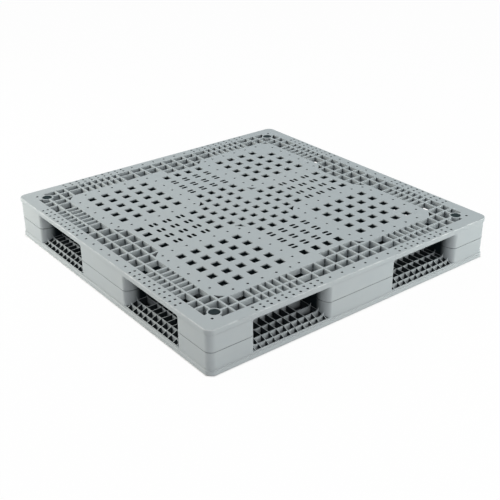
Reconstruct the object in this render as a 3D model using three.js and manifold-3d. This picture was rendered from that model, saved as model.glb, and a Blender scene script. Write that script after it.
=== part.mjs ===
// Plastic pallet, 1100 by 1100 by 140 mm, made of two moulded halves welded at mid height.
// Each half is a ribbed deck on nine hollow half-blocks, with four round rubber grips
// pressed flush into the corners of its face. Two fork tunnels cross two others.
// Units are millimetres, +Z is up, and the origin is the centre of the ground face.

import * as THREE from 'three';
import { mergeGeometries, mergeVertices } from 'three/addons/utils/BufferGeometryUtils.js';
import Module from 'manifold-3d';

const wasm = await Module();
wasm.setup();

// Overall size of the pallet
const palletSide = 1100;
const palletHeight = 140;
const cornerRadius = 25;

// Deck plate with its raised lip
const deckThickness = 19;
const lipHeight = 15;
const lipProud = 3;
const lipEdge = 2.5;
const skinThickness = 4;
const wallThickness = 4;

// Blocks, the corner ones counted from the pallet's edge, with the curved lead-in at each
// tunnel entry. The fork tunnels take what is left between them
const middleBlockSide = 278;
const cornerBlockSide = 159;
const entryFlare = 20;
const entryDepth = 32;
const blockInnerRadius = 16;
const blockWall = 4;
const blockWeb = 4;

// Open cells of the border: rib centre lines, counted from the pallet's edge, the last of
// them by how far it lies outside the corner block's inner wall
const rimLine = 38;
const outerRowLine = 72.2;
const innerRowLine = 117.5;
const shortRowSetback = 6.5;
const borderRib = 7;

// Cross ribs of the border, counted from the pallet's centre over the middle blocks,
// and from the middle block's wall over the tunnels
const blockCellPitch = 46;
const pocketMargin = 54;
const pocketCellPitch = 50.9;

// Panels of square holes, five by five, over the four tunnel crossings
const panelHoles = 5;
const panelHoleSide = 26;
const panelRib = 4;

// Openings of the middle cross
const crossHoleWidth = 20;
const crossHoleLength = 26;
const crossSlotLength = 23;
const crossBayCount = 3;

// Open grid of the ground deck, which stands higher under the tunnels and slopes down to a
// sill at each entry: its rim, counted from the pallet's edge, and how many cells lie across
// a tunnel and between the rim and the inner wall of a corner block
const groundHeight = 33;
const rampLength = 35;
const groundRim = 20;
const groundColumns = 3;
const groundRows = 2;
const groundRib = 4;

// Rubber grips, the tubes that hold them, and the gap between pieces that don't bear on
// each other
const gripRadius = 16.3;
const gripDepth = 12;
const pieceGap = 0.3;
const gripTubeWall = 4;

// Facets of round stretches
const cornerFacets = 3;
const innerFacets = 2;
const hollowFacets = 1;
const gripFacets = 10;

// How far a cut runs past the face that it opens, and how close two corners are one
const overrun = 1;
const mergeDistance = 1e-5;

// Colours and finish
const mouldedPlastic = new THREE.MeshStandardMaterial({ color: 0xa6afb4, roughness: 0.55, metalness: 0 });
const weldedBlock = new THREE.MeshStandardMaterial({ color: 0xb4b9b8, roughness: 0.6, metalness: 0 });
const gripRubber = new THREE.MeshStandardMaterial({ color: 0x384242, roughness: 0.85, metalness: 0 });

// Places that follow from the sizes above
const half = palletSide / 2;
const weldHeight = palletHeight / 2;
const deckUnderside = palletHeight - deckThickness;
const skinUnderside = palletHeight - skinThickness;
const groundUnderside = palletHeight - groundHeight;
const wallFace = half - lipProud;
const blockNear = middleBlockSide / 2;
const blockFar = half - cornerBlockSide;
const tunnelWidth = blockFar - blockNear;
const shortRowLine = cornerBlockSide - shortRowSetback;
const blockCells = Math.floor(blockNear / blockCellPitch);
const pocketLine = blockNear + pocketMargin;
const pocketCells = Math.floor((tunnelWidth - pocketMargin) / pocketCellPitch);
const outerRib = half - outerRowLine;
const sides = [0, 1, 2, 3];

// Lines spread evenly from one place to another, and the spaces between ribs on such lines
function evenLines(from, to, spaces) {
  return Array.from({ length: spaces + 1 }, (_, k) => from + (k * (to - from)) / spaces);
}

function between(lines, ribWidth) {
  return lines.slice(1).map((line, k) => [lines[k] + ribWidth / 2, line - ribWidth / 2]);
}

// Rib lines of a panel, whose outermost ribs stand just past the walls of the tunnels
const panelLines = evenLines(blockNear - panelRib / 2, blockFar + panelRib / 2, panelHoles);
const panelPlaces = panelLines.slice(1).map((line, k) => (panelLines[k] + line) / 2);

// A closed shape as a solid that can be joined and cut
function solid(geometry) {
  const bare = geometry.index ? geometry.toNonIndexed() : geometry.clone();
  bare.deleteAttribute('normal');
  bare.deleteAttribute('uv');
  const closed = mergeVertices(bare, mergeDistance);
  return new wasm.Manifold(new wasm.Mesh({
    numProp: 3,
    vertProperties: new Float32Array(closed.attributes.position.array),
    triVerts: new Uint32Array(closed.index.array),
  }));
}

// Several shapes that don't meet, as one solid
function together(geometries) {
  return solid(mergeGeometries(geometries.map((shape) => (shape.index ? shape.toNonIndexed() : shape))));
}

// The faces of a cut solid
function shapeOf(body) {
  const mesh = body.getMesh();
  const geometry = new THREE.BufferGeometry();
  geometry.setAttribute('position', new THREE.BufferAttribute(new Float32Array(mesh.vertProperties), 3));
  geometry.setIndex(new THREE.BufferAttribute(new Uint32Array(mesh.triVerts), 1));
  geometry.computeVertexNormals();
  return geometry;
}

// A straight block between two corners
function blockBetween(x0, x1, y0, y1, z0, z1) {
  const box = new THREE.BoxGeometry(x1 - x0, y1 - y0, z1 - z0);
  return box.translate((x0 + x1) / 2, (y0 + y1) / 2, (z0 + z1) / 2);
}

// A rectangle whose corners are quarter ellipses, each with its own radii and facets,
// counterclockwise from the corner at low x and low y
function roundedRectangle(x0, x1, y0, y1, corners) {
  const places = [[x0, y0, 1, 1], [x1, y0, -1, 1], [x1, y1, -1, -1], [x0, y1, 1, -1]];
  const points = places.flatMap(([x, y, inX, inY], k) => {
    const { rx, ry, facets } = corners[k];
    const start = Math.PI + (k * Math.PI) / 2;
    const arc = new THREE.EllipseCurve(
      x + inX * rx, y + inY * ry, rx, ry, start, start + Math.PI / 2, false,
    );
    return arc.getPoints(facets);
  });
  return new THREE.Shape(points);
}

// A flat outline raised from one height to another
function raised(shape, z0, z1, bevel = 0) {
  const settings = {
    depth: z1 - z0 - bevel,
    bevelEnabled: bevel > 0,
    bevelThickness: bevel,
    bevelSize: bevel,
    bevelOffset: -bevel,
    bevelSegments: 1,
  };
  return new THREE.ExtrudeGeometry(shape, settings).translate(0, 0, z0);
}

// Deck plate: the lip stands proud of the wall below it, and its top edge is broken
function deckPlate() {
  const lipCorner = { rx: cornerRadius, ry: cornerRadius, facets: cornerFacets };
  const wallCorner = { rx: cornerRadius - lipProud, ry: cornerRadius - lipProud, facets: cornerFacets };
  const lipShape = roundedRectangle(-half, half, -half, half, Array(4).fill(lipCorner));
  const wallShape = roundedRectangle(-wallFace, wallFace, -wallFace, wallFace, Array(4).fill(wallCorner));
  const lipTop = solid(raised(lipShape, palletHeight - lipHeight, palletHeight, lipEdge));
  const wall = solid(raised(wallShape, deckUnderside, palletHeight - lipHeight + lipEdge));
  return lipTop.add(wall);
}

// Border cells, in one side's own frame: along runs beside the edge from the middle,
// and inward is counted from the edge
function sideCell(side, along0, along1, inward0, inward1, z0, z1) {
  const cell = blockBetween(along0, along1, -half + inward0, -half + inward1, z0, z1);
  return cell.rotateZ((side * Math.PI) / 2);
}

// Cross rib lines on one half of a side, from the middle to the corner
const crossLines = [
  ...Array.from({ length: blockCells + 1 }, (_, k) => k * blockCellPitch),
  ...Array.from({ length: pocketCells + 1 }, (_, k) => pocketLine + k * pocketCellPitch),
  half - shortRowLine,
  half - innerRowLine,
  half - outerRowLine,
];

// Through cells of the face: two rows all round, and a short third row beside each middle
// block, which has no cell at its left end on the front and the back
function borderCells() {
  const low = deckUnderside - overrun;
  const high = palletHeight + overrun;
  const rib = borderRib / 2;
  const cells = [];
  const addCell = (side, along0, along1, line0, line1) => {
    cells.push(sideCell(side, along0 + rib, along1 - rib, line0 + rib, line1 - rib, low, high));
  };
  for (const side of sides) {
    for (let k = 0; k < crossLines.length - 1; k += 1) {
      const [near, far] = [crossLines[k], crossLines[k + 1]];
      addCell(side, near, far, rimLine, outerRowLine);
      addCell(side, -far, -near, rimLine, outerRowLine);
      if (far <= half - innerRowLine) {
        addCell(side, near, far, outerRowLine, innerRowLine);
        addCell(side, -far, -near, outerRowLine, innerRowLine);
      }
    }
    addCell(side, half - innerRowLine, half - outerRowLine, outerRowLine, innerRowLine);
    const shortCells = blockCells - 1;
    const blank = { 0: -shortCells, 2: shortCells - 1 }[side];
    for (let k = -shortCells; k < shortCells; k += 1) {
      if (k !== blank) {
        addCell(side, k * blockCellPitch, (k + 1) * blockCellPitch, innerRowLine, shortRowLine);
      }
    }
  }
  return cells;
}

// Square holes of the four panels; the back right panel has none at its outer corner
function panelHoleCuts() {
  const h = panelHoleSide / 2;
  const holes = [];
  for (const sx of [-1, 1]) {
    for (const sy of [-1, 1]) {
      panelPlaces.forEach((px, i) => panelPlaces.forEach((py, j) => {
        const blank = sx > 0 && sy > 0 && i === panelHoles - 1 && j === panelHoles - 1;
        if (!blank) {
          holes.push(blockBetween(
            sx * px - h, sx * px + h, sy * py - h, sy * py + h,
            skinUnderside - overrun, palletHeight + overrun,
          ));
        }
      }));
    }
  }
  return holes;
}

// Openings of the middle cross: four columns along each arm, and a grid over the centre
// block, where the hole nearest the back right panel is missing
function crossCuts() {
  const w = crossHoleWidth / 2;
  const low = skinUnderside - overrun;
  const high = palletHeight + overrun;
  const cuts = [];
  const columns = [];
  for (let k = 1 - blockCells; k < blockCells - 1; k += 1) columns.push((k + 1 / 2) * blockCellPitch);
  const outerColumn = (blockCells - 1 / 2) * blockCellPitch;
  for (const side of sides) {
    for (const along of columns) {
      const addCut = (place, long) => {
        const [near, far] = [half - place - long / 2, half - place + long / 2];
        cuts.push(sideCell(side, along - w, along + w, near, far, low, high));
      };
      panelPlaces.forEach((place, k) => {
        addCut(place, k === 0 || k === panelHoles - 1 ? crossHoleLength : crossSlotLength);
      });
      addCut(outerColumn, crossHoleWidth);
    }
  }
  for (const x of columns) {
    for (const y of columns) {
      const blank = x === Math.max(...columns) && y === Math.max(...columns);
      if (!blank) cuts.push(blockBetween(x - w, x + w, y - w, y + w, low, high));
    }
  }
  return cuts;
}

// Hollows under the skin, open downwards, in a deck of either thickness: long bays between ribs
function bay(x0, x1, y0, y1) {
  return blockBetween(x0, x1, y0, y1, groundUnderside - overrun, skinUnderside);
}

function sideBay(side, along0, along1, inward0, inward1) {
  return sideCell(side, along0, along1, inward0, inward1, groundUnderside - overrun, skinUnderside);
}

// Bays under the four panels, one under each row of holes
function panelBays() {
  const mirrored = panelLines.map((line) => -line).reverse();
  const across = [...between(mirrored, panelRib), ...between(panelLines, panelRib)];
  const along = [mirrored, panelLines].flatMap((lines) => between([lines[0], lines.at(-1)], panelRib));
  return across.flatMap(([x0, x1]) => along.map(([y0, y1]) => bay(x0, x1, y0, y1)));
}

// Bays under the arms of the cross and over the centre block
function crossBays() {
  const rib = panelRib / 2;
  const [inner, outer] = [half - panelLines[panelHoles] + rib, half - panelLines[0] - rib];
  const reach = panelLines[0];
  const spans = between(evenLines(-reach, reach, crossBayCount), panelRib);
  return spans.flatMap(([a, b]) => [
    ...sides.map((side) => sideBay(side, a, b, inner, outer)),
    bay(a, b, -reach + rib, reach - rib),
  ]);
}

// Bays under the flat rim, over the blocks and over the tunnel mouths
function rimBays(innerLine, ribHere) {
  const rib = panelRib / 2;
  const [near, far] = [lipProud + wallThickness, innerLine - ribHere / 2];
  const corner = half - rimLine;
  const bays = [];
  for (const side of sides) {
    bays.push(sideBay(side, -blockNear + rib, blockNear - rib, near, far));
    for (const [a, b] of [[blockNear + rib, blockFar - rib], [blockFar + rib, corner]]) {
      bays.push(sideBay(side, a, b, near, far));
      bays.push(sideBay(side, -b, -a, near, far));
    }
  }
  return bays;
}

// Tubes that hold the grips stand where the outer ribs cross near each corner
function roundBars(radius, z0, z1) {
  return [-outerRib, outerRib].flatMap((x) => [-outerRib, outerRib].map((y) => {
    const bar = new THREE.CylinderGeometry(radius, radius, z1 - z0, gripFacets);
    return bar.rotateX(Math.PI / 2).translate(x, y, (z0 + z1) / 2);
  }));
}

// A deck: the plate less its through cells and hollows, with solid tubes bored for the grips
function deck(plate, throughCells, hollows) {
  const tubeRadius = gripRadius + pieceGap + gripTubeWall;
  const tubes = together(roundBars(tubeRadius, deckUnderside - overrun, palletHeight + overrun));
  const bores = together(roundBars(gripRadius + pieceGap, palletHeight - gripDepth, palletHeight + overrun));
  const cuts = together(throughCells).add(hollows).subtract(tubes);
  return plate.subtract(cuts).subtract(bores);
}

// Loading deck, with every row of cells in its face
function loadingDeck() {
  const rib = panelRib / 2;
  const strips = sides.flatMap((side) => {
    const [near, far] = [innerRowLine + borderRib / 2, half - panelLines.at(-1) - rib];
    const [a, b] = [panelLines[0] + rib, panelLines[panelHoles] - rib];
    return [sideBay(side, a, b, near, far), sideBay(side, -b, -a, near, far)];
  });
  const hollows = together([...panelBays(), ...crossBays(), ...rimBays(rimLine, borderRib), ...strips]);
  return deck(deckPlate(), borderCells(), hollows.add(together([...panelHoleCuts(), ...crossCuts()])));
}

// Beds that stand higher along the tunnels, clear of the blocks, with a slope at each end
function tunnelBeds() {
  const [near, far] = [blockNear + pieceGap, blockFar - pieceGap];
  const [lowEnd, highEnd] = [wallFace, wallFace - rampLength];
  const slopes = new THREE.Shape([
    [-lowEnd, deckUnderside + overrun], [-lowEnd, deckUnderside], [-highEnd, groundUnderside],
    [highEnd, groundUnderside], [lowEnd, deckUnderside], [lowEnd, deckUnderside + overrun],
  ].map(([along, height]) => new THREE.Vector2(along, height)));
  const bed = new THREE.ExtrudeGeometry(slopes, { depth: far - near, bevelEnabled: false });
  bed.rotateX(Math.PI / 2);
  const pair = [bed.clone().translate(0, far, 0), bed.clone().translate(0, -near, 0)];
  const crossing = pair.map((one) => one.clone().rotateZ(Math.PI / 2));
  return together(pair).add(together(crossing));
}

// Ground deck: an open grid of thin ribs under the tunnels, and flat skin under the blocks
function groundDeck() {
  const rib = groundRib / 2;
  const low = groundUnderside - overrun;
  const high = palletHeight + overrun;
  const spans = between(evenLines(blockNear, blockFar, groundColumns), groundRib);
  const rows = between(evenLines(groundRim, cornerBlockSide, groundRows), groundRib);
  const cells = [];
  const bays = [...crossBays(), ...rimBays(groundRim, groundRib)];
  for (const side of sides) {
    for (const [a, b] of spans) {
      for (const [near, far] of rows) {
        cells.push(sideCell(side, a, b, near, far, low, high));
        cells.push(sideCell(side, -b, -a, near, far, low, high));
      }
      for (const [c, d] of spans) cells.push(sideCell(side, a, b, half - d, half - c, low, high));
    }
    const [near, far] = [groundRim + rib, cornerBlockSide - blockWall];
    const overMiddle = between(evenLines(-blockNear, blockNear, crossBayCount), groundRib);
    const overCorner = between([blockFar + blockWall - rib, outerRib, half - groundRim], groundRib);
    for (const [a, b] of [...overMiddle, ...overCorner]) bays.push(sideBay(side, a, b, near, far));
  }
  return deck(deckPlate().add(tunnelBeds()), cells, together(bays));
}

// Half-blocks: hollow, open at both ends, with lead-in curves on the corners of each entry.
// The webs across the hollow carry on the ribs of the deck
function halfBlock(column, row) {
  const spans = { '-1': [-wallFace, -blockFar], 0: [-blockNear, blockNear], 1: [blockFar, wallFace] };
  const [x0, x1] = spans[column];
  const [y0, y1] = spans[row];
  const signs = [[-1, -1], [1, -1], [1, 1], [-1, 1]];
  const corners = signs.map(([sx, sy]) => {
    const onX = sx === column;
    const onY = sy === row;
    if (onX && onY) {
      const r = cornerRadius - lipProud;
      return { rx: r, ry: r, facets: cornerFacets };
    }
    if (onX) return { rx: entryDepth, ry: entryFlare, facets: cornerFacets };
    if (onY) return { rx: entryFlare, ry: entryDepth, facets: cornerFacets };
    return { rx: blockInnerRadius, ry: blockInnerRadius, facets: innerFacets };
  });
  const hollowCorners = corners.map(({ rx, ry }) => (
    { rx: rx - blockWall, ry: ry - blockWall, facets: hollowFacets }
  ));
  const outline = roundedRectangle(x0, x1, y0, y1, corners);
  const hollow = roundedRectangle(
    x0 + blockWall, x1 - blockWall, y0 + blockWall, y1 - blockWall, hollowCorners,
  );
  const [low, high] = [weldHeight - overrun, deckUnderside + overrun];
  const middleWebs = evenLines(-blockNear, blockNear, crossBayCount).slice(1, -1);
  const webLines = { '-1': [-outerRib], 0: middleWebs, 1: [outerRib] };
  const web = blockWeb / 2;
  const webs = column !== 0 && row === 0
    ? webLines[row].map((y) => blockBetween(x0, x1, y - web, y + web, low, high))
    : webLines[column].map((x) => blockBetween(x - web, x + web, y0, y1, low, high));
  const cells = solid(raised(hollow, low, high)).subtract(together(webs));
  return shapeOf(solid(raised(outline, weldHeight, deckUnderside)).subtract(cells));
}

// Grip: a rubber disc, flush with the deck
function grip() {
  const disc = new THREE.CylinderGeometry(gripRadius, gripRadius, gripDepth, gripFacets);
  return disc.rotateX(Math.PI / 2).translate(0, 0, -gripDepth / 2);
}

function named(name, geometry, material) {
  const mesh = new THREE.Mesh(geometry, material);
  mesh.name = name;
  return mesh;
}

// One half of the pallet, its deck face up, with its front towards low y (-1) or high y (1)
function palletHalf(level, deckShape, front) {
  const group = new THREE.Group();
  group.add(named(`${level}_deck`, deckShape, mouldedPlastic));
  const rows = { front, middle: 0, back: -front };
  const columns = { left: -1, middle: 0, right: 1 };
  for (const [rowName, row] of Object.entries(rows)) {
    for (const [columnName, column] of Object.entries(columns)) {
      const place = row === 0 && column === 0 ? 'centre' : `${rowName}_${columnName}`;
      group.add(named(`${level}_block_${place}`, halfBlock(column, row), weldedBlock));
      if (row !== 0 && column !== 0) {
        const rubber = named(`${level}_grip_${place}`, grip(), gripRubber);
        rubber.position.set(column * outerRib, row * outerRib, palletHeight);
        group.add(rubber);
      }
    }
  }
  return group;
}

// The lower half is turned over about X, so that the two halves meet at the weld
const pallet = new THREE.Group();
pallet.add(palletHalf('upper', shapeOf(loadingDeck()), -1));
const lowerHalf = palletHalf('lower', shapeOf(groundDeck()), 1);
lowerHalf.rotation.x = Math.PI;
lowerHalf.position.z = palletHeight;
pallet.add(lowerHalf);

export default pallet;
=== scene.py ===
import math

import bmesh
import bpy
from mathutils import Matrix, Vector


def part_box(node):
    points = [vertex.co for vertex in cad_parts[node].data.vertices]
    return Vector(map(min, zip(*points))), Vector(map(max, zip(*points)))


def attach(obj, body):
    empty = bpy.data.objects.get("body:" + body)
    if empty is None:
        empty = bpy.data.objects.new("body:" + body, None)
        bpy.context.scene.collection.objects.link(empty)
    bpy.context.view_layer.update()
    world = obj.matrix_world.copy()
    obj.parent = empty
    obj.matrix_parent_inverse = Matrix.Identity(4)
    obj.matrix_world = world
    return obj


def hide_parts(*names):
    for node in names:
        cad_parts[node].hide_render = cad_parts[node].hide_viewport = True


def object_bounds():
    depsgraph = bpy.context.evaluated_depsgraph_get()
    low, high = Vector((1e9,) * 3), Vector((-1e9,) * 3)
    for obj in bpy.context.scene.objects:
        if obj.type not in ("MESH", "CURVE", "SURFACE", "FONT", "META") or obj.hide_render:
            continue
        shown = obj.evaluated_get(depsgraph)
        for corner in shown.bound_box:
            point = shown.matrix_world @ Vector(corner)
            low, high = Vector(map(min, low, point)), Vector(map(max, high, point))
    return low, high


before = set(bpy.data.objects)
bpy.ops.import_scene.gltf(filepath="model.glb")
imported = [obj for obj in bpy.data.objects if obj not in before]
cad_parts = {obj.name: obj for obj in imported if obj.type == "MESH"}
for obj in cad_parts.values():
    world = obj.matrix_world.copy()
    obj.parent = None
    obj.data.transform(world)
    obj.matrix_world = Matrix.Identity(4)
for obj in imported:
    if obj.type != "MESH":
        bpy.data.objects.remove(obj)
cad_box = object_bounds()

# Camera
# It stands to the left of the front left corner, well above the pallet, and looks down over
# that corner. The horizon has a slight roll, and the lens has no shift.
camera = bpy.data.objects.new("camera", bpy.data.cameras.new("camera"))
bpy.context.scene.collection.objects.link(camera)
bpy.context.scene.camera = camera
camera.data.sensor_width = 36
camera.data.lens = 63.66
camera.location = (-1.622, -2.0985, 1.333)
look_bearing, look_down, look_roll = (math.radians(a) for a in (37.95, 27.07, -0.41))
camera.matrix_world = (
    Matrix.Translation(camera.location)
    @ Matrix.Rotation(-look_bearing, 4, "Z")
    @ Matrix.Rotation(math.pi / 2 - look_down, 4, "X")
    @ Matrix.Rotation(look_roll, 4, "Z")
)

# Moulded halves: the plastic
# Each half is one injection moulding in pale blue-grey polypropylene, satin from a lightly
# spark-eroded mould. Handling leaves the flat faces scuffed and a little dusty. The proud edges
# are painted paler as a highlight, and shade is painted dark in the cells, the holes, the fork
# ways and the tight corners.
outer = cad_box[1].x
load_height = cad_box[1].z
ground_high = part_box("lower_deck")[1].z
deck_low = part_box("upper_deck")[0].z
block_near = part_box("upper_block_centre")[1].x
block_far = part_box("upper_block_front_right")[0].x
corner_radius = 0.025
lip_proud = 0.003
wall = 0.004
sill_high = 0.020
slope_end = 0.038

plain = (0.400, 0.443, 0.462, 1)
bluer = (0.372, 0.420, 0.447, 1)
chalky = (0.455, 0.487, 0.495, 1)
scraped = (0.56, 0.585, 0.59, 1)
# A paler colour painted along the lip's top edge as a highlight
highlight_colour = (0.66, 0.69, 0.70, 1)
# The colour of the painted shade that darkens the cells, holes, fork ways and corners
painted_shade_colour = (0.006, 0.012, 0.015, 1)

# A mask goes from none to full between the two values of its pair. Reaches run in from the
# edge of the pallet, depths down from a face, rises up from the fork way, and heights are from
# the floor.
# The pairs down to the foot's reach place the painted shade
way_reach = (0.024, 0.052)
way_rise = (0.0003, 0.0015)
unshaded_rise = (0.015, 0.022)
lattice_reach = (0.005, 0.006)
rib_depth = (0.012, 0.028)
rib_side_depth = (0.0001, 0.0010)
cell_depth = (0.028, 0.055)
deck_height = (deck_low + 0.0005, deck_low + 0.0015)
block_reach = (0.034, 0.036)
block_height = (0.006, 0.010)
hole_depth = (0.0014, 0.0060)
hole_reach = (0.004, 0.007)
slot_depth = (0.0005, 0.0018)
off_ground = (0.001, 0.006)
crease = (0.22, 0.50)
weld_fade = (0.0006, 0.0012)
foot_fade = (0.0006, 0.0020)
foot_reach = (0.004, 0.006)
# Where the painted highlight runs along the top edge of the lip
highlight_height = (load_height - 0.0035, load_height - 0.0012)
highlight_reach = (0.0015, 0.0045)
turned_that_way = (0.5, 0.9)

# The ring of cells starts and ends at these reaches, and is deeper beside the middle blocks.
ring_start = 0.036
ring_end = 0.1185
deep_ring_end = 0.151
past_middle_block = (0.1155, 0.1165)
past_slots = (0.084, 0.088)
slot_stretch = (0.180, 0.358)
within_wall = 0.0025
foot_height = load_height - deck_low - 0.0040
crease_size = 0.012

# The share of the plastic that the painted shade hides, where it is darkest
shade_cover = 0.985
rib_side_cover = 0.93
crease_cover = 0.9
weld_cover = 0.52
foot_cover = 0.12


class Shade:
    """One output of a material's nodes, so that shader maths reads as plain expressions."""

    def __init__(self, tree, socket=None):
        self.tree = tree
        self.socket = socket

    def add(self, kind, inputs, out=0, **settings):
        """A new node with its settings, and the values or links of its sockets."""
        node = self.tree.nodes.new(kind)
        for name, value in settings.items():
            setattr(node, name, value)
        for name, value in inputs.items():
            if isinstance(value, Shade):
                self.tree.links.new(value.socket, node.inputs[name])
            else:
                node.inputs[name].default_value = value
        return Shade(self.tree, node.outputs[out] if len(node.outputs) else None)

    def maths(self, operation, *others):
        """Arithmetic on this number and on plain numbers or other outputs."""
        return self.add("ShaderNodeMath", dict(enumerate((self, *others))), operation=operation)

    def __add__(self, other):
        return self.maths("ADD", other)

    def __sub__(self, other):
        return self.maths("SUBTRACT", other)

    def __rsub__(self, other):
        return self.maths("MULTIPLY_ADD", -1, other)

    def __mul__(self, other):
        return self.maths("MULTIPLY", other)

    __radd__ = __add__
    __rmul__ = __mul__

    def above(self, low, high):
        """0 below low and 1 above high, with a smooth climb between them."""
        spans = {"Value": self, "From Min": low, "From Max": high}
        return self.add("ShaderNodeMapRange", spans, interpolation_type="SMOOTHSTEP")

    def between(self, low, high, change=0.001):
        """1 from low to high, and 0 beyond, with a millimetre to change in."""
        return self.above(low - change, low) - self.above(high, high + change)

    def most(self, other):
        """The greater of this number and another."""
        return self.maths("MAXIMUM", other)

    def least(self, other):
        """The smaller of this number and another."""
        return self.maths("MINIMUM", other)

    def size(self):
        """This number without its sign."""
        return self.maths("ABSOLUTE")

    def noise(self, scale, detail=3.0, roughness=0.5):
        """Cloudy noise from 0 to 1, at that many patches to a metre, on this vector."""
        settings = {"Vector": self, "Scale": scale, "Detail": detail, "Roughness": roughness}
        return self.add("ShaderNodeTexNoise", settings)

    def part(self, axis):
        """One of the three numbers of a vector."""
        return self.add("ShaderNodeSeparateXYZ", {0: self}, out="XYZ".index(axis))

    def mixed(self, first, second):
        """The first colour where this number is 0, turning to the second where it is 1."""
        return self.add("ShaderNodeMix", {0: self, 6: first, 7: second}, out=2, data_type="RGBA")


def new_material(name):
    """A material with no nodes, and a Shade to make them with."""
    material = bpy.data.materials.new(name)
    material.use_nodes = True
    material.node_tree.nodes.clear()
    return material, Shade(material.node_tree)


def from_edge(place):
    """How far a place lies in from the outline of the pallet, with its rounded corners."""
    across, along = place.part("X").size(), place.part("Y").size()
    cut_off = corner_radius * (math.sqrt(2) - 1)
    round_corner = (2 * outer - across - along) * math.sqrt(0.5) - cut_off
    return (outer - across.most(along)).least(round_corner)


def painted_shade_on(place, facing):
    """Where shade is painted dark over the plastic: low in the cells, far in the fork ways,
    between the ribs of the ground deck, on the walls of the holes, and in every tight corner."""
    height, inward = place.part("Z"), from_edge(place)
    across, along = place.part("X").size(), place.part("Y").size()
    nearer, farther = across.least(along), across.most(along)
    below = load_height - height
    raised = height.above(*off_ground)
    slope = {"Value": inward, "From Min": lip_proud, "From Max": slope_end}
    way_level = place.add("ShaderNodeMapRange", {**slope, "To Min": sill_high, "To Max": ground_high})

    # Painted shade far in the fork ways, whose rib fronts are left unshaded near the entry, and in the
    # spaces between ribs
    ahead = (along - across).above(0, 0.001)
    turn_x, turn_y = facing.part("X").size(), facing.part("Y").size()
    rib_sides = turn_x * ahead + turn_y * (1.0 - ahead)
    rib_fronts = turn_y * ahead + turn_x * (1.0 - ahead)
    unshaded_fronts = rib_fronts.above(*turned_that_way) * (1.0 - (height - way_level).above(*unshaded_rise))
    ways = inward.above(*way_reach) * (height - way_level).above(*way_rise) * (1.0 - unshaded_fronts)
    sides = (way_level - height).above(*rib_side_depth) * rib_sides.above(*turned_that_way)
    lattice = (way_level - height).above(*rib_depth).most(sides * rib_side_cover)
    lattice = lattice * inward.above(*lattice_reach) * raised

    # Painted shade low in the cells, in the deck's own depth and inside the walls of the blocks below it
    cells = below.above(*cell_depth)
    deck = height.above(*deck_height)
    between_blocks = (block_near - within_wall, block_far + within_wall)
    in_block = (1.0 - across.between(*between_blocks)) * (1.0 - along.between(*between_blocks))
    in_block = in_block * inward.above(*block_reach) * height.above(*block_height)
    enclosed = deck.most(in_block)

    # Painted shade on the walls of the holes through the skin, which is all of the deck but its ring of
    # cells
    ring_end_here = deep_ring_end - (deep_ring_end - ring_end) * nearer.above(*past_middle_block)
    skin = deck * (1.0 - inward.between(ring_start, ring_end_here))
    slots = (1.0 - nearer.above(*past_slots)) * farther.between(*slot_stretch)
    hole_walls = below.above(*hole_depth).most(slots * below.above(*slot_depth))
    hole_walls = hole_walls * inward.above(*hole_reach)
    # All of this painted shade together, capped at full
    deep_shade = lattice + ways + (cells - ways) * enclosed + (hole_walls - cells).most(0) * skin
    capped_shade = deep_shade.least(1)

    # Painted shade in tight corners, found by ambient occlusion, in the groove of the weld and at the
    # foot of the walls
    reach = {"Distance": crease_size}
    open_sky = place.add("ShaderNodeAmbientOcclusion", reach, out=1, samples=8, only_local=True)
    corners = (1.0 - open_sky).above(*crease) * raised * crease_cover
    from_weld = (height - load_height / 2).size()
    weld = weld_cover - weld_cover * from_weld.above(*weld_fade)
    from_foot = (height - foot_height).size()
    foot = (1.0 - from_foot.above(*foot_fade)) * (1.0 - inward.above(*foot_reach)) * foot_cover
    return capped_shade + (1.0 - capped_shade) * corners.most(weld).most(foot)


def moulded_plastic():
    material, shade = new_material("moulded_polypropylene")
    place = shade.add("ShaderNodeTexCoord", {}, out=3)
    facing = shade.add("ShaderNodeNewGeometry", {}, out=1)
    flat = facing.part("Z").above(0.8, 0.95)

    drift = place.noise(scale=2.2, detail=2.0).above(0.35, 0.65)
    mottle = place.noise(scale=24.0, detail=4.0, roughness=0.6).above(0.3, 0.7)
    drawn_out = place.add("ShaderNodeMapping", {"Vector": place, "Scale": (9.0, 1.3, 1.0)})
    scuffs = drawn_out.noise(scale=46.0, detail=6.0, roughness=0.72).above(0.6, 0.76) * flat
    dust = place.noise(scale=160.0, detail=5.0, roughness=0.7).above(0.58, 0.78) * flat
    # A painted highlight: a paler colour along the top edge of the lip, broken by noise
    edge = place.part("Z").above(*highlight_height) * (1.0 - from_edge(place).above(*highlight_reach))
    edge_highlight = edge * place.noise(scale=30.0).above(0.3, 0.7)

    tinted = (drift * 0.5).mixed(plain, bluer)
    patchy = (mottle * 0.22).mixed(tinted, chalky)
    scuffed = (scuffs * 0.35 + dust * 0.18).mixed(patchy, scraped)
    scuffed_and_highlit = (edge_highlight * 0.6).mixed(scuffed, highlight_colour)

    grain = place.noise(scale=1900.0, detail=2.0, roughness=0.6)
    waves = place.noise(scale=38.0, detail=2.0)
    relief = grain * 0.6 + waves * 0.25 + scuffs * 0.5
    bump = shade.add("ShaderNodeBump", {"Strength": 0.16, "Distance": 0.0004, "Height": relief})
    shine = 0.5 + mottle * 0.08 + dust * 0.14 - scuffs * 0.06
    bare = shade.add(
        "ShaderNodeBsdfPrincipled",
        {"Base Color": scuffed_and_highlit, "Roughness": shine, "IOR": 1.49, "Normal": bump},
    )
    # A near-black diffuse sheet laid over the plastic where the mask is high paints the shade
    shade_sheet = shade.add("ShaderNodeBsdfDiffuse", {"Color": painted_shade_colour})
    with_painted_shade = shade.add("ShaderNodeMixShader", {0: painted_shade_on(place, facing) * shade_cover, 1: bare, 2: shade_sheet})
    shade.add("ShaderNodeOutputMaterial", {"Surface": with_painted_shade})
    return material


plastic = moulded_plastic()

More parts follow.
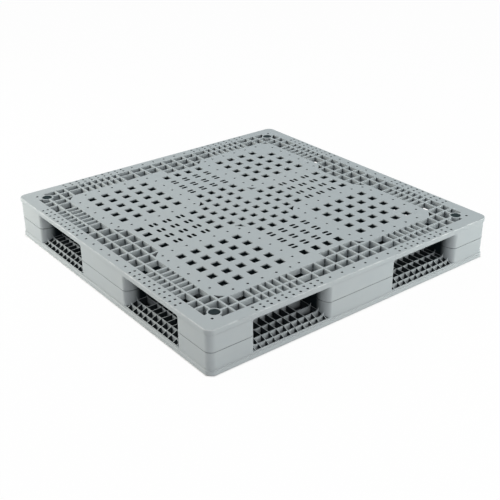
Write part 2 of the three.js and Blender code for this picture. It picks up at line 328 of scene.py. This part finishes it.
# Upper half: the loading deck
# One wide plate with a proud lip all round, moulded face down. Its skin is four millimetres
# thick over a lattice of ribs, and the ribs stand bare as open cells in a border round it.
# Square holes drain the four panels, and a cross of smaller holes and slots parts them.
rib = 0.007
thin_rib = 0.004
rim_line, outer_line, inner_line, short_line = 0.038, 0.0722, 0.1175, 0.1525
middle_lines = (-0.092, -0.046, 0, 0.046, 0.092)
way_lines = (0.138, 0.193, 0.2184, 0.2439, 0.2693, 0.2948, 0.3202, 0.3456, 0.3975)
skin_low = load_height - 0.004
collar_low = skin_low - 0.010
collar_wall = 0.003
hole_corner = 0.002
panel_hole, end_hole, near_hole, centre_hole = 0.013, 0.0135, 0.011, 0.0112
cross_hole, slot_half, slot_shift, slot_corner = 0.0115, 0.0054, 0.0084, 0.0048
tube_radius, pocket_radius = 0.0206, 0.0166
entry = (0.020, 0.032)
grip_low, grip_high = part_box("upper_grip_front_right")
grip_place = (grip_low.x + grip_high.x) / 2
corner_signs = ((-1, -1), (1, -1), (1, 1), (-1, 1))

# The edge of the plate, and its cuts, as levels of (height, inset). The mould's draft widens
# a cell downwards, and the edges at the face are broken. A cut runs past the face it opens by
# the overrun, and a fill runs as far into what it joins.
overrun = 0.001
rim_levels = (
    (deck_low, lip_proud),
    (deck_low + 0.0036, lip_proud),
    (deck_low + 0.0046, 0.0023),
    (deck_low + 0.0056, 0.0007),
    (deck_low + 0.0064, 0),
    (load_height - 0.0025, 0),
    (load_height - 0.0013, 0.0003),
    (load_height - 0.0005, 0.0010),
    (load_height, 0.0025),
)
cut_low = load_height - ground_high - overrun
broken_edge = ((load_height - 0.0008, 0), (load_height + 0.0012, -0.002))
cell_levels = ((cut_low, -0.001), *broken_edge)
hole_levels = ((collar_low - 0.0005, 0), *broken_edge)
collar_levels = ((collar_low, 0), (skin_low + overrun, 0))
bay_levels = ((cut_low, 0), (skin_low, 0))


def turned(turns):
    """A turn about the middle of the pallet by that many quarters."""
    return Matrix.Rotation(turns * math.pi / 2, 4, "Z")


def loft(mesh, rings):
    """A solid through rings of points, each ring with as many as the first."""
    circle = bmesh.ops.create_circle(mesh, cap_ends=True, segments=len(rings[0]), radius=1)
    ring = sorted(circle["verts"], key=lambda vertex: math.atan2(vertex.co.y, vertex.co.x))
    solid = []
    face = ring[0].link_faces[0]
    for count, spots in enumerate(rings):
        if count:
            made = bmesh.ops.extrude_face_region(mesh, geom=[face])["geom"]
            if count > 1:
                bmesh.ops.delete(mesh, geom=[face], context="FACES_ONLY")
            copies = [item for item in made if isinstance(item, bmesh.types.BMVert)]
            for place, vertex in enumerate(ring):
                ring[place] = next(copy for copy in copies if copy.co == vertex.co)
                copies.remove(ring[place])
            face = next(item for item in made if isinstance(item, bmesh.types.BMFace))
        for vertex, spot in zip(ring, spots):
            vertex.co = spot
        solid += ring
    return solid


def stack(mesh, low, high, radii, levels, steps=0):
    """A solid rising through levels of (height, inset), its outline a rectangle from low to
    high whose four corners turn in a quarter of an ellipse."""
    rings = []
    for height, inset in levels:
        ring = []
        for corner, signs in enumerate(corner_signs):
            for step in range(steps + 1):
                turn = math.pi * (1 + (corner + (step / steps if steps else 0.5)) / 2)
                spot = []
                for side, swing, radius, a, b in zip(
                    signs, (math.cos(turn), math.sin(turn)), radii[corner], low, high
                ):
                    bend = max(radius - inset, 0.00001) if steps else 0
                    spot.append((a + b) / 2 + side * ((b - a) / 2 - inset - bend) + bend * swing)
                ring.append((*spot, height))
        rings.append(ring)
    return loft(mesh, rings)


def box(mesh, low, high, levels, turns=0):
    """A stack with sharp corners, turned about the middle of the pallet by quarter turns."""
    solid = stack(mesh, low, high, ((0, 0),) * 4, levels)
    bmesh.ops.transform(mesh, matrix=turned(turns), verts=solid)


def prism(mesh, points, low, high):
    """A solid of one height over a polygon."""
    return loft(mesh, [[(*point, height) for point in points] for height in (low, high)])


def spans(lines, thickness):
    """The clear openings between neighbouring rib lines, each rib having that thickness."""
    return [(a + thickness / 2, b - thickness / 2) for a, b in zip(lines, lines[1:])]


def mirrored(lines):
    """The lines, and the same on the other side of the middle."""
    return sorted({-line for line in lines} | set(lines))


def shape(name, mesh):
    """The mesh as an object, with its faces turned outwards."""
    bmesh.ops.recalc_face_normals(mesh, faces=mesh.faces)
    piece = bpy.data.objects.new(name, bpy.data.meshes.new(name))
    mesh.to_mesh(piece.data)
    mesh.free()
    bpy.context.scene.collection.objects.link(piece)
    return piece


def joined(piece, *steps):
    """The piece after each (operation, mesh) of the steps in turn."""
    tools = []
    for operation, mesh in steps:
        tools.append(shape(piece.name + "_tool", mesh))
        cut = piece.modifiers.new("cut", "BOOLEAN")
        cut.operation, cut.solver, cut.object = operation, "MANIFOLD", tools[-1]
    made = bpy.data.meshes.new_from_object(piece.evaluated_get(bpy.context.evaluated_depsgraph_get()))
    piece.modifiers.clear()
    piece.data = made
    for tool in tools:
        bpy.data.objects.remove(tool)
    return piece


def moulded(piece, node, material):
    """The piece with its rounded edges shaded soft, in the place of its node."""
    piece.data.materials.clear()
    piece.data.materials.append(material)
    piece.data.shade_smooth()
    piece.data.set_sharp_from_angle(angle=math.radians(50))
    weighted = piece.modifiers.new("weighted", "WEIGHTED_NORMAL")
    weighted.keep_sharp = True
    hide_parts(node)
    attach(piece, "root")


panel_start, panel_end = block_near - thin_rib / 2, block_far + thin_rib / 2
panel_pitch = (panel_end - panel_start) / 5
panel_lines = [panel_start + panel_pitch * count for count in range(6)]
panel_middles = [line + panel_pitch / 2 for line in panel_lines[:5]]
border_lines = mirrored((*middle_lines[2:], *way_lines, outer - inner_line, outer - outer_line))
bay_lines = mirrored((*middle_lines[2:], *panel_lines, outer - inner_line))
cross_middles = (-0.069, -0.023, 0.023, 0.069)
beside_centre = 0.115


def border_cells(wanted):
    """Open cells, in two rows all round, and a short third row beside each middle block, which
    has no cell at its left end on the front and the back."""
    cells = bmesh.new()
    for turns in range(4):
        for row, (near, far) in enumerate(spans((rim_line, outer_line, inner_line), rib)):
            for start, end in spans(border_lines, rib)[row:]:
                if wanted((start + end) / 2, outer - near):
                    box(cells, (start, near - outer), (end, far - outer), cell_levels, turns)
    near, far = outer - short_line + rib / 2, outer - inner_line - rib / 2
    for start, end in spans(middle_lines, rib):
        for low, high in ((-far, -near), (near, far)):
            box(cells, (low, start), (high, end), cell_levels)
            if start > middle_lines[1]:
                box(cells, (start, low), (end, high), cell_levels)
    return cells


def skin_bays(wanted):
    """The hollows that the thin ribs leave under the rim and under the skin."""
    bays = bmesh.new()
    near, far = lip_proud + wall - outer, rim_line - rib / 2 - outer
    for turns in range(4):
        for start, end in spans(border_lines, thin_rib):
            if wanted((start + end) / 2, outer):
                box(bays, (start, near), (end, far), bay_levels, turns)
    for low_x, high_x in spans(bay_lines, thin_rib):
        for low_y, high_y in spans(bay_lines, thin_rib):
            beside, out = sorted((abs(low_x + high_x) / 2, abs(low_y + high_y) / 2))
            celled = beside < middle_lines[-1] and out > outer - short_line
            if wanted(high_x, high_y) and wanted(low_x, low_y) and not celled:
                box(bays, (low_x, low_y), (high_x, high_y), bay_levels)
    return bays


def hole(mesh, x, y, half_x, half_y, bend=hole_corner, collars=None):
    """A hole through the skin, with its corners rounded and maybe a collar round it below."""
    stack(mesh, (x - half_x, y - half_y), (x + half_x, y + half_y), ((bend, bend),) * 4, hole_levels, 3)
    if collars:
        half_x, half_y = half_x + collar_wall, half_y + collar_wall
        box(collars, (x - half_x, y - half_y), (x + half_x, y + half_y), collar_levels)


def skin_holes(wanted):
    """Five by five holes in each panel, and four columns of holes and paired slots along each
    arm of the cross. One panel and the middle each have no hole at their back right corner."""
    holes, collars = bmesh.new(), bmesh.new()
    middles = mirrored(panel_middles)
    for x in middles:
        for y in middles:
            if wanted(x, y) and (x, y) != (middles[-1], middles[-1]):
                hole(holes, x, y, panel_hole, panel_hole, collars=collars)
    for across in cross_middles:
        for along in middles + [-beside_centre, beside_centre]:
            if panel_middles[0] < abs(along) < panel_middles[4]:
                for place in (along - slot_shift, along + slot_shift):
                    hole(holes, across, place, cross_hole, slot_half, bend=slot_corner)
                    hole(holes, place, across, slot_half, cross_hole, bend=slot_corner)
            else:
                half_long = near_hole if abs(along) == beside_centre else end_hole
                hole(holes, across, along, cross_hole, half_long, collars=collars)
                hole(holes, along, across, half_long, cross_hole, collars=collars)
        for along in cross_middles:
            if (across, along) != (cross_middles[-1], cross_middles[-1]):
                hole(holes, across, along, centre_hole, centre_hole, collars=collars)
    return holes, collars


def drain_dots(wanted):
    """Small round holes in rows along the rim and between the panels."""
    dots = bmesh.new()
    spots = [(0.409, 0.126), (0.126, 0.409), (0.122, 0.122), (0.502, 0.502)]
    for middle in panel_middles:
        for margin in (beside_centre, 0.413):
            spots += [(middle, margin), (margin, middle)]
    first, pitch, rim_rows, middle_row = 0.155, 0.0256, (0.0115, 0.028), 0.021
    for count in range(10):
        for row in rim_rows:
            along = first + pitch * count
            spots += [(along, outer - row), (outer - row, along)]
    for along in (*cross_middles[2:], beside_centre):
        spots += [(along, outer - middle_row), (outer - middle_row, along)]
    size = {"radius1": 0.0042, "radius2": 0.0044, "depth": 0.0062}
    for side_x, side_y in corner_signs:
        for x, y in spots:
            if wanted(x, y):
                place = Matrix.Translation((side_x * x, side_y * y, load_height - 0.002))
                bmesh.ops.create_cone(dots, cap_ends=True, segments=8, matrix=place, **size)
    return dots


def corner_openings(wanted):
    """Small three-cornered openings at the corners of the skin and of the cross."""
    openings = bmesh.new()
    skin_edge, cross_edge, centre_edge, leg, short_leg = 0.429, 0.0955, 0.097, 0.025, 0.022
    places = [(cross_edge, side * skin_edge, leg, -side * leg) for side in (-1, 1)]
    for side_x, side_y in corner_signs:
        places += [
            (side_x * skin_edge, side_y * skin_edge, -side_x * short_leg, -side_y * short_leg),
            (side_x * skin_edge, side_y * cross_edge, -side_x * leg, side_y * leg),
            (side_x * centre_edge, side_y * centre_edge, side_x * leg, side_y * leg),
        ]
    for x, y, leg_x, leg_y in places:
        if wanted(x, y):
            points = ((x, y), (x + leg_x, y), (x, y + leg_y))
            prism(openings, points, skin_low - overrun, load_height + overrun)
    return openings


def grip_seats():
    """The tubes that stand near the corners of a deck, and the pockets in them."""
    tubes, pockets = bmesh.new(), bmesh.new()
    tube_levels = ((deck_low, 0), (load_height - 0.0007, 0), (load_height - 0.0001, 0.0006))
    pocket_levels = ((grip_low.z - 0.0002, 0), (load_height - 0.0007, 0), (load_height + overrun, 0))
    for side_x, side_y in corner_signs:
        x, y = side_x * grip_place, side_y * grip_place
        for mesh, radius, levels in (
            (tubes, tube_radius, tube_levels),
            (pockets, pocket_radius, pocket_levels),
        ):
            ends = ((x - radius, y - radius), (x + radius, y + radius))
            stack(mesh, *ends, ((radius, radius),) * 4, levels, 7)
    return tubes, pockets


def half_deck(name, wanted, bed=()):
    """A deck of either half, with the openings that are wanted in it and its bed joined on."""
    plate = bmesh.new()
    stack(plate, (-outer, -outer), (outer, outer), ((corner_radius, corner_radius),) * 4, rim_levels, 8)
    holes, collars = skin_holes(wanted)
    tubes, pockets = grip_seats()
    return joined(
        shape(name, plate),
        *bed,
        ("DIFFERENCE", border_cells(wanted)),
        ("DIFFERENCE", skin_bays(wanted)),
        ("UNION", collars),
        ("DIFFERENCE", holes),
        ("DIFFERENCE", drain_dots(wanted)),
        ("DIFFERENCE", corner_openings(wanted)),
        ("UNION", tubes),
        ("DIFFERENCE", pockets),
    )


def flare(row):
    """How far the curved corner of a block stands back, at that distance from the edge."""
    into = max(lip_proud + entry[1] - row, 0) / entry[1]
    return -entry[0] * (1 - math.sqrt(1 - min(into, 1) ** 2))


def gussets(mesh, turns, sections):
    """Fills between the blocks and the level above or below a fork way, hollowed in a quarter
    of an ellipse, at both ends of both ways of one side. Sections are (row, level, run, rise)."""
    swing = [math.pi / 2 * step / 6 for step in range(7)]
    into_block, into_level = 0.0005, 0.002
    for side, block, inwards in (
        (-1, block_near, 1), (1, block_near, 1), (-1, block_far, -1), (1, block_far, -1)
    ):
        rings = []
        for row, level, run, rise in sections:
            face = block + inwards * flare(row)
            ring = [
                (face + inwards * run * (1 - math.sin(a)), level - rise * (1 - math.cos(a)))
                for a in swing
            ]
            inside, past = face - inwards * into_block, level + into_level
            ring += [(inside, level - rise), (inside, past), (face + inwards * run, past)]
            rings.append([(side * across, row - outer, height) for across, height in ring])
        solid = loft(mesh, rings)
        bmesh.ops.transform(mesh, matrix=turned(turns), verts=solid)


loading_deck = half_deck("loading_deck", lambda *place: True)
brows = bmesh.new()
brow_sizes = ((0.0032, 0.012), (0.006, 0.012), (0.009, 0.009), (0.011, 0.004))
for turns in range(4):
    gussets(brows, turns, [(row, deck_low, size, size) for row, size in brow_sizes])
joined(loading_deck, ("UNION", brows))
moulded(loading_deck, "upper_deck", plastic)

# Upper half: the nine half blocks
# Nine hollow half blocks hang under the deck in one piece with it, with ribs that follow the
# cells above. Where a fork comes in, their outer corners turn away in a long curve. Their open
# ends are welded to those of the lower half, which leaves a soft groove with a bead along it.
weld_height = load_height / 2
deck_face = outer - lip_proud
inner_corner = (0.016, 0.016)
weld_levels = (
    (weld_height, 0.0012),
    (weld_height + 0.0006, 0.0004),
    (weld_height + 0.0008, -0.0004),
    (weld_height + 0.0024, -0.0004),
    (weld_height + 0.0030, 0),
    (deck_low + 0.0005, 0),
)


def half_block(name, low, high, radii, lines_x, lines_y):
    """A block's wall from low to high, with ribs across its hollow on both sets of lines."""
    shell, hollow, ribs_x, ribs_y = (bmesh.new() for _ in range(4))
    stack(shell, low, high, radii, weld_levels, 8)
    stack(hollow, low, high, radii, ((weld_height - overrun, wall), (deck_low + overrun, wall)), 8)
    half_rib, into_wall = thin_rib / 2, 0.002
    rib_levels = ((weld_height + 0.0002, 0), (deck_low + 0.0002, 0))
    for line in lines_x:
        ends = ((line - half_rib, low[1] + into_wall), (line + half_rib, high[1] - into_wall))
        box(ribs_x, *ends, rib_levels)
    for line in lines_y:
        ends = ((low[0] + into_wall, line - half_rib), (high[0] - into_wall, line + half_rib))
        box(ribs_y, *ends, rib_levels)
    return joined(shape(name, shell), ("DIFFERENCE", hollow), ("UNION", ribs_x), ("UNION", ribs_y))


def copied(piece, name, matrix):
    """A copy of the piece, with its mesh moved by the matrix."""
    other = bpy.data.objects.new(name, piece.data.copy())
    bpy.context.scene.collection.objects.link(other)
    other.data.transform(matrix)
    return other


row_lines = tuple(line - outer for line in (rim_line, outer_line, inner_line))
middle = half_block(
    "front_middle",
    (-block_near, -deck_face),
    (block_near, -block_far),
    (entry, entry, inner_corner, inner_corner),
    middle_lines,
    row_lines,
)
corner = half_block(
    "front_left",
    (-deck_face, -deck_face),
    (-block_far, -block_far),
    ((0.022, 0.022), entry, inner_corner, (entry[1], entry[0])),
    row_lines[1:],
    row_lines[1:],
)
centre = half_block(
    "centre",
    (-block_near, -block_near),
    (block_near, block_near),
    (inner_corner,) * 4,
    middle_lines,
    middle_lines,
)
upper_blocks = {"centre": centre}
for turns, (middle_name, corner_name) in enumerate(
    (
        ("front_middle", "front_left"),
        ("middle_right", "front_right"),
        ("back_middle", "back_right"),
        ("middle_left", "back_left"),
    )
):
    upper_blocks[middle_name] = copied(middle, "block_" + middle_name, turned(turns))
    upper_blocks[corner_name] = copied(corner, "block_" + corner_name, turned(turns))
bpy.data.objects.remove(middle)
bpy.data.objects.remove(corner)
for name, piece in upper_blocks.items():
    moulded(piece, "upper_block_" + name, plastic)

# Lower half: the ground deck
# The same moulding turned over, but under the fork ways it is an open lattice of deep thin
# ribs that stands higher than the rest. At each entry the ribs slope down to a low sill for
# the wheels of a truck, and their rows rise in a small curve where they meet the blocks.
over = Matrix.Translation((0, 0, load_height)) @ Matrix.Rotation(math.pi, 4, "X")
upright = Matrix(((0, 0, 1, 0), (1, 0, 0, 0), (0, 1, 0, 0), (0, 0, 0, 1)))
bed_low = load_height - ground_high
way_rib = 0.003
way_rows = (0.004, 0.0195, 0.0385, 0.0725, 0.117, 0.159)
way_pitch = 0.026
under_block = 0.003
lattice_levels = ((cut_low, -0.0004), (load_height + overrun, 0))


def in_line_with_blocks(*place):
    """Whether a place on the ground deck is in line with the blocks, not in the lattice."""
    return not block_near < min(abs(along) for along in place) < block_far


def way_level(row):
    """How high the ground deck stands in a fork way, at that distance from the edge."""
    climb = min(max((row - lip_proud) / (slope_end - lip_proud), 0), 1)
    return load_height - sill_high - climb * (ground_high - sill_high)


beds = []
for turns in range(2):
    bed = bmesh.new()
    high, low = deck_face, outer - slope_end
    for side in (-1, 1):
        ends = sorted((side * (block_near - under_block), side * (block_far + under_block)))
        slope = ((-high, deck_low), (-low, bed_low), (low, bed_low), (high, deck_low))
        slope += ((high, deck_low + overrun), (-high, deck_low + overrun))
        solid = prism(bed, slope, *ends)
        bmesh.ops.transform(bed, matrix=turned(turns) @ upright, verts=solid)
    beds.append(("UNION", bed))
ground_deck = half_deck("ground_deck", in_line_with_blocks, beds)

mouths, crossings, horns = bmesh.new(), bmesh.new(), bmesh.new()
close_lines = [block_near + way_pitch * count for count in range(1, 10)]
wide_lines = [block_near + 2 * way_pitch * count for count in range(1, 5)]
way_start, way_end = block_near - way_rib / 2, block_far + way_rib / 2
for turns in range(4):
    for side in (-1, 1):
        for row, (near, far) in enumerate(spans(way_rows, way_rib)):
            lines = [way_start, *(close_lines if row < 2 else close_lines[1:]), way_end]
            for a, b in spans(lines, way_rib):
                low, high = sorted((side * a, side * b))
                box(mouths, (low, near - outer), (high, far - outer), lattice_levels, turns)
    for row in way_rows[1:5]:
        run, rise = (0.016, 0.013) if row == way_rows[1] else (0.019, 0.014)
        ends = (row - way_rib / 2, row + way_rib / 2)
        gussets(horns, turns, [(end, way_level(row), run, rise) for end in ends])
for side_x, side_y in corner_signs:
    for x_span in spans([way_start, *wide_lines, way_end], way_rib):
        for y_span in spans([way_start, *wide_lines, way_end], way_rib):
            xs, ys = sorted(side_x * x for x in x_span), sorted(side_y * y for y in y_span)
            box(crossings, (xs[0], ys[0]), (xs[1], ys[1]), lattice_levels)
joined(ground_deck, ("DIFFERENCE", mouths), ("DIFFERENCE", crossings), ("UNION", horns))
ground_deck.data.transform(over)
moulded(ground_deck, "lower_deck", plastic)

# Lower half: the nine half blocks
# They are the same half blocks as above, moulded in one with the ground deck, and stand up
# from it to the weld. Turning over swaps the front and the back.
swapped = {"front": "back", "back": "front"}
for name, piece in upper_blocks.items():
    first, _, last = name.partition("_")
    other = "_".join(part for part in (swapped.get(first, first), last) if part)
    moulded(copied(piece, "lower_" + other, over), "lower_block_" + other, plastic)

# Grips
# A soft rubber disc is pushed into the round pocket at each corner of both decks, so that
# goods and stacked pallets don't slide. It sits level with the face, its edge rounded over.
black_rubber = (0.011, 0.021, 0.024, 1)
faded_rubber = (0.022, 0.036, 0.040, 1)
rubber_dust = (0.09, 0.11, 0.11, 1)
grip_levels = (
    (grip_low.z, 0.0006),
    (grip_low.z + 0.0006, 0),
    (load_height - 0.0014, 0),
    (load_height - 0.0007, 0.0003),
    (load_height - 0.0003, 0.0010),
    (load_height - 0.0001, 0.0022),
)


def grip_rubber():
    material, shade = new_material("grip_rubber")
    place = shade.add("ShaderNodeTexCoord", {}, out=3)
    cloud = place.noise(scale=70.0, detail=4.0, roughness=0.6).above(0.3, 0.7)
    dust = place.noise(scale=420.0, detail=4.0, roughness=0.7).above(0.52, 0.75)
    faded = (cloud * 0.7).mixed(black_rubber, faded_rubber)
    dusty = (dust * 0.12).mixed(faded, rubber_dust)
    relief = place.noise(scale=2600.0) * 0.7 + cloud * 0.3
    bump = shade.add("ShaderNodeBump", {"Strength": 0.25, "Distance": 0.0004, "Height": relief})
    rubber = shade.add(
        "ShaderNodeBsdfPrincipled",
        {"Base Color": dusty, "Roughness": 0.8 + dust * 0.15, "Specular IOR Level": 0.1, "Normal": bump},
    )
    shade.add("ShaderNodeOutputMaterial", {"Surface": rubber})
    return material


grip_material = grip_rubber()
grip_radius = (grip_high.x - grip_low.x) / 2
for name, signs in zip(("front_left", "front_right", "back_right", "back_left"), corner_signs):
    x, y = (sign * grip_place for sign in signs)
    disc = bmesh.new()
    ends = ((x - grip_radius, y - grip_radius), (x + grip_radius, y + grip_radius))
    stack(disc, *ends, ((grip_radius, grip_radius),) * 4, grip_levels, 11)
    upper = shape("grip_" + name, disc)
    moulded(upper, "upper_grip_" + name, grip_material)
    first, _, last = name.partition("_")
    other = swapped[first] + "_" + last
    moulded(copied(upper, "lower_grip_" + other, over), "lower_grip_" + other, grip_material)

# Floor and light
# The pallet stands on a plain white sweep. Before each of its two near sides are a high and a
# low soft box, one more hangs by the camera and a cool one beyond the pallet, and the room
# gives a weak even light from all round.


def seen(shade):
    """1 for what the camera sees straight, in a gloss or through something clear, and 0 for
    light on its way to the pallet."""
    kinds = ("Is Camera Ray", "Is Glossy Ray", "Is Transmission Ray")
    straight, glossy, clear = (shade.add("ShaderNodeLightPath", {}, out=kind) for kind in kinds)
    return straight.most(glossy).most(clear)


floor_mesh = bmesh.new()
bmesh.ops.create_grid(floor_mesh, x_segments=1, y_segments=1, size=12)
floor = shape("floor", floor_mesh)
sweep, sheet = new_material("sweep")
floor_place = sheet.add("ShaderNodeTexCoord", {}, out=3)
matt = sheet.add("ShaderNodeBsdfDiffuse", {"Color": (0.88, 0.88, 0.88, 1)})
bright = sheet.add("ShaderNodeEmission", {"Color": (1, 1, 1, 1), "Strength": 1.0})
beyond = seen(sheet) * (0.975 - 0.975 * from_edge(floor_place).above(-0.004, 0.002))
floor_shader = sheet.add("ShaderNodeMixShader", {0: beyond, 1: matt, 2: bright})
sheet.add("ShaderNodeOutputMaterial", {"Surface": floor_shader})
floor.data.materials.append(sweep)

world = bpy.data.worlds.new("studio")
bpy.context.scene.world = world
world.use_nodes = True
world.node_tree.nodes.clear()
room = Shade(world.node_tree)
dim = room.add("ShaderNodeBackground", {"Color": (1.0, 0.98, 1.0, 1), "Strength": 0.28})
white = room.add("ShaderNodeBackground", {"Color": (1, 1, 1, 1), "Strength": 1.0})
room_light = room.add("ShaderNodeMixShader", {0: seen(room), 1: dim, 2: white})
room.add("ShaderNodeOutputWorld", {"Surface": room_light})

for name, place, size, power, tint in (
    ("left", (-2.2, 2.0, 1.8), 1.6, 43, (1.0, 0.96, 0.87)),
    ("left_low", (-1.8, 1.7, 0.8), 1.2, 25, (1.0, 0.98, 0.90)),
    ("camera_side", (-1.8, -2.4, 2.2), 2.0, 12.5, (1.0, 0.98, 0.96)),
    ("right", (0.5, -2.9, 1.0), 1.6, 20, (1.0, 0.98, 0.97)),
    ("right_low", (1.7, -1.8, 0.8), 1.2, 24, (0.98, 1.0, 0.92)),
    ("back", (1.3, 1.3, 2.6), 2.0, 20, (0.78, 0.94, 1.0)),
):
    lamp = bpy.data.objects.new(name, bpy.data.lights.new(name, "AREA"))
    bpy.context.scene.collection.objects.link(lamp)
    lamp.data.size = size
    lamp.data.energy = power
    lamp.data.color = tint
    lamp.location = place
    lamp.rotation_euler = (-Vector(place)).to_track_quat("-Z", "Y").to_euler()

bpy.context.scene.view_settings.view_transform = "Standard"
